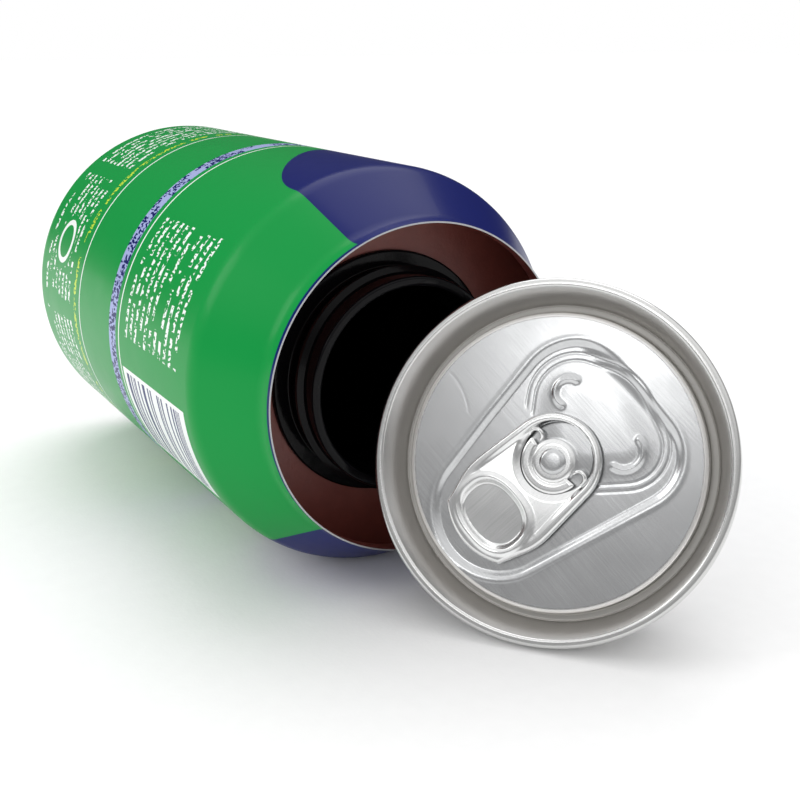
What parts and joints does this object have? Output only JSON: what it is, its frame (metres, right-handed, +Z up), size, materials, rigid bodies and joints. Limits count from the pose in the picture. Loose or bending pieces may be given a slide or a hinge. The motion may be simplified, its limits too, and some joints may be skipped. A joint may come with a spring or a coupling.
{
  "type": "hidden compartment can",
  "caption": "Fake drinks can with a threaded jar cast inside and a screw lid disguised as its pull-tab end, shown lying with the lid off.",
  "frame": {"origin": "centre of the can's stand ring, on the can's axis", "axes": "+X along the can's axis from the base to the mouth, +Z up; the can lies on its side"},
  "size_m": [0.151, 0.0664, 0.066],
  "materials": {
    "printed_shell": "green and blue print under clear lacquer",
    "bare_aluminium": "rolled, clear lacquered",
    "cut_aluminium": "cut edge",
    "black_plastic": "gloss moulded",
    "cap_plastic": "satin moulded",
    "cast_filler": "satin cast",
    "seam_rubber": "matt",
    "glue": "cured",
    "liner_foam": "foamed sheet"
  },
  "bodies": {
    "can": {"can_shell": "printed_shell", "inner_jar": "black_plastic", "filler_cast": "cast_filler"},
    "liner": {"cap_liner": "liner_foam"},
    "lid": {"can_end": "bare_aluminium", "neck_ring": "cut_aluminium", "seam_compound": "seam_rubber", "screw_cap": "cap_plastic", "cap_adhesive": "glue"},
    "tongue": {"tab_tongue": "bare_aluminium"},
    "tab": {"tab_lever": "bare_aluminium"}
  },
  "joints": [
    {"name": "lid_draw_off", "type": "slide", "parent": "can", "child": "liner", "axis": [1, 0, 0], "range_m": [0, 0.07]},
    {"name": "lid_turn", "type": "hinge", "parent": "liner", "child": "lid", "pos_m": [0.12568, 0.01382, -0.00908], "axis": [0.5971, -0.7217, 0.3502], "continuous": true},
    {"name": "tab_swivel", "type": "hinge", "parent": "lid", "child": "tongue", "pos_m": [0.12753, 0.01158, -0.00799], "axis": [0.5971, -0.7217, 0.3502], "range_deg": [-25, 25]},
    {"name": "tab_lift", "type": "hinge", "parent": "tongue", "child": "tab", "pos_m": [0.12599, 0.00882, -0.01105], "axis": [-0.722, -0.2931, 0.6268], "range_deg": [0, 3.5]}
  ]
}
